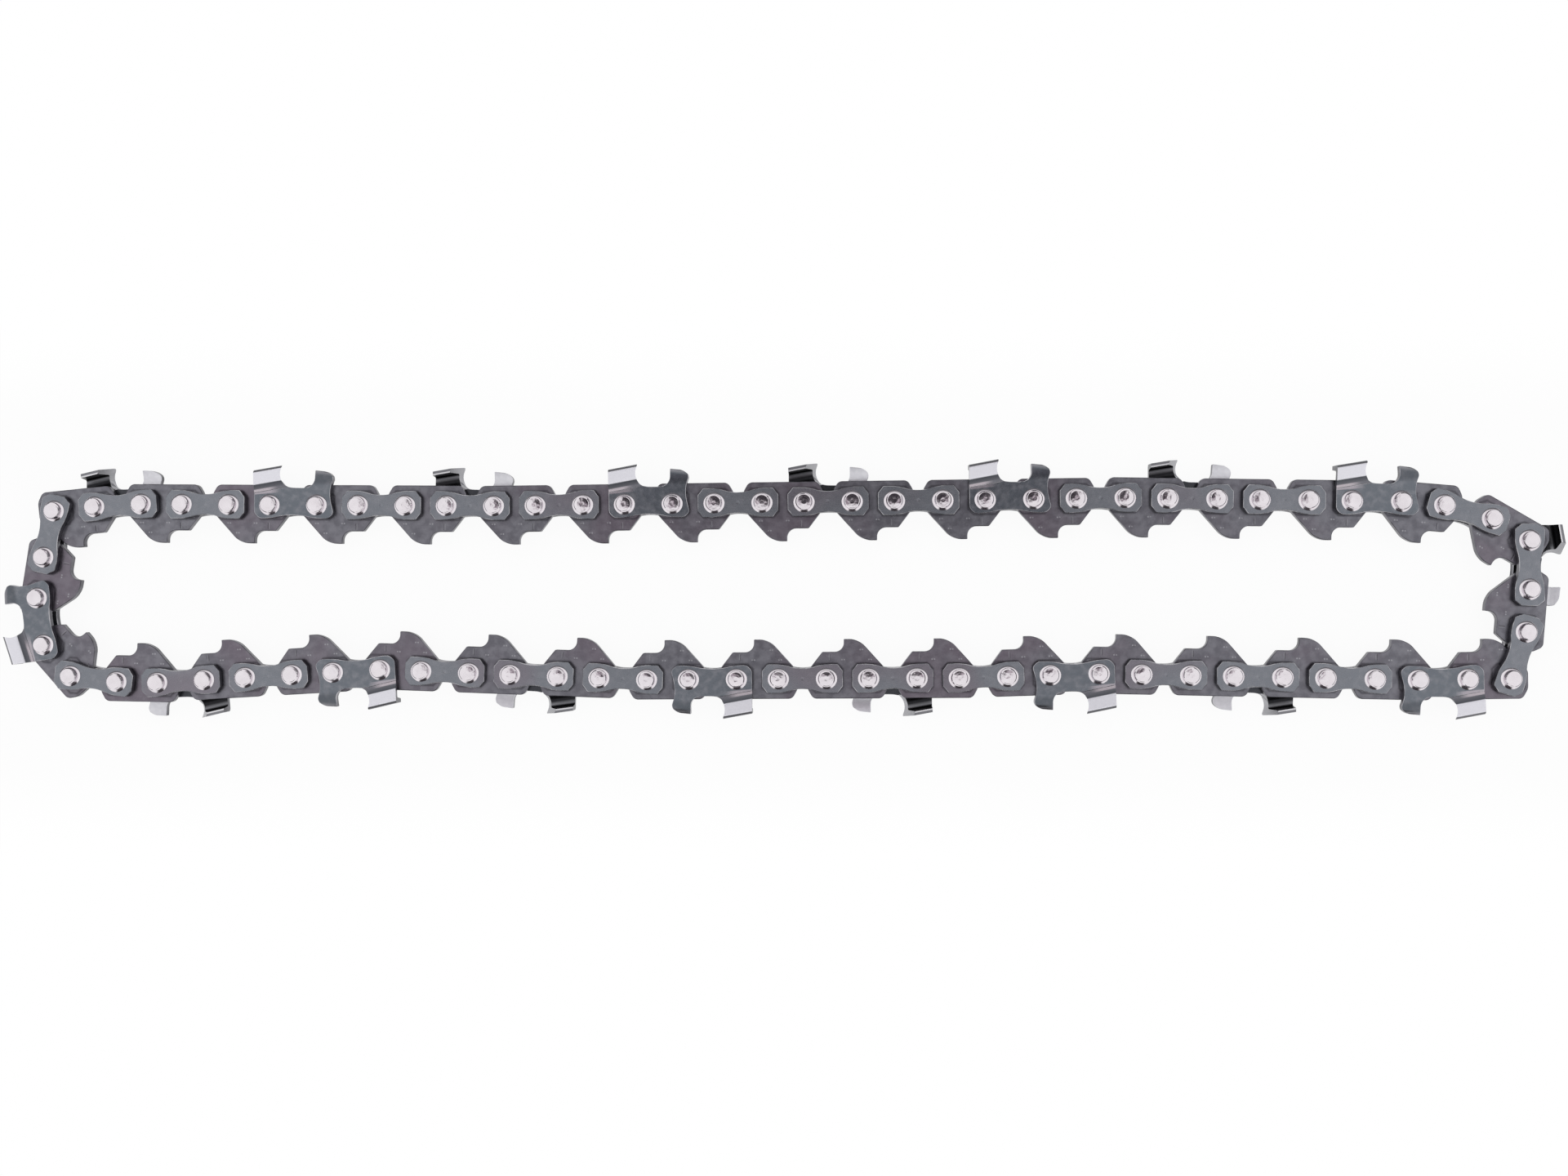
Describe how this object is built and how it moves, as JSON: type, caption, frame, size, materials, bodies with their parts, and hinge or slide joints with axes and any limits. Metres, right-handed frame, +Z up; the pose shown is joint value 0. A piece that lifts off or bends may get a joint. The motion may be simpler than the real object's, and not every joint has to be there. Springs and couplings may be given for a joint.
{
  "type": "saw chain loop",
  "caption": "Closed loop of riveted saw chain lying on its side: hooked drive links inside, tie straps and alternating left and right cutters outside, for a small pruning saw.",
  "frame": {"origin": "middle of the loop's box on the table, under the far rivet heads", "axes": "+X along the loop, the way its upper run travels; +Y across the loop; +Z up, out of the table"},
  "size_m": [0.2208, 0.0368, 0.005],
  "materials": {
    "drive_link_steel": "hardened grey steel with a faint brown and purple temper tint",
    "strap_steel": "dark blued steel, satin",
    "cutter_chrome": "chrome plate on the tooth, darker on the side plate",
    "rivet_steel": "peened bright steel"
  },
  "bodies": {
    "root": {"drive_link_01": "drive_link_steel", "drive_link_02": "drive_link_steel", "drive_link_03": "drive_link_steel", "drive_link_04": "drive_link_steel", "drive_link_05": "drive_link_steel", "drive_link_06": "drive_link_steel", "drive_link_07": "drive_link_steel", "drive_link_08": "drive_link_steel", "drive_link_09": "drive_link_steel", "drive_link_10": "drive_link_steel", "drive_link_11": "drive_link_steel", "drive_link_12": "drive_link_steel", "drive_link_13": "drive_link_steel", "drive_link_14": "drive_link_steel", "drive_link_15": "drive_link_steel", "drive_link_16": "drive_link_steel", "drive_link_17": "drive_link_steel", "drive_link_18": "drive_link_steel", "drive_link_19": "drive_link_steel", "drive_link_20": "drive_link_steel", "drive_link_21": "drive_link_steel", "drive_link_22": "drive_link_steel", "drive_link_23": "drive_link_steel", "drive_link_24": "drive_link_steel", "drive_link_25": "drive_link_steel", "drive_link_26": "drive_link_steel", "drive_link_27": "drive_link_steel", "drive_link_28": "drive_link_steel", "drive_link_29": "drive_link_steel", "drive_link_30": "drive_link_steel", "drive_link_31": "drive_link_steel", "drive_link_32": "drive_link_steel", "drive_link_33": "drive_link_steel", "drive_link_34": "drive_link_steel", "drive_link_35": "drive_link_steel", "drive_link_36": "drive_link_steel", "left_cutter_1": "cutter_chrome", "left_cutter_2": "cutter_chrome", "left_cutter_3": "cutter_chrome", "left_cutter_4": "cutter_chrome", "left_cutter_5": "cutter_chrome", "left_cutter_6": "cutter_chrome", "left_cutter_7": "cutter_chrome", "left_cutter_8": "cutter_chrome", "left_cutter_9": "cutter_chrome", "right_cutter_1": "cutter_chrome", "right_cutter_2": "cutter_chrome", "right_cutter_3": "cutter_chrome", "right_cutter_4": "cutter_chrome", "right_cutter_5": "cutter_chrome", "right_cutter_6": "cutter_chrome", "right_cutter_7": "cutter_chrome", "right_cutter_8": "cutter_chrome", "right_cutter_9": "cutter_chrome", "near_tie_straps": "strap_steel", "far_tie_straps": "strap_steel", "near_rivet_heads": "rivet_steel", "far_rivet_heads": "rivet_steel"}
  },
  "joints": []
}
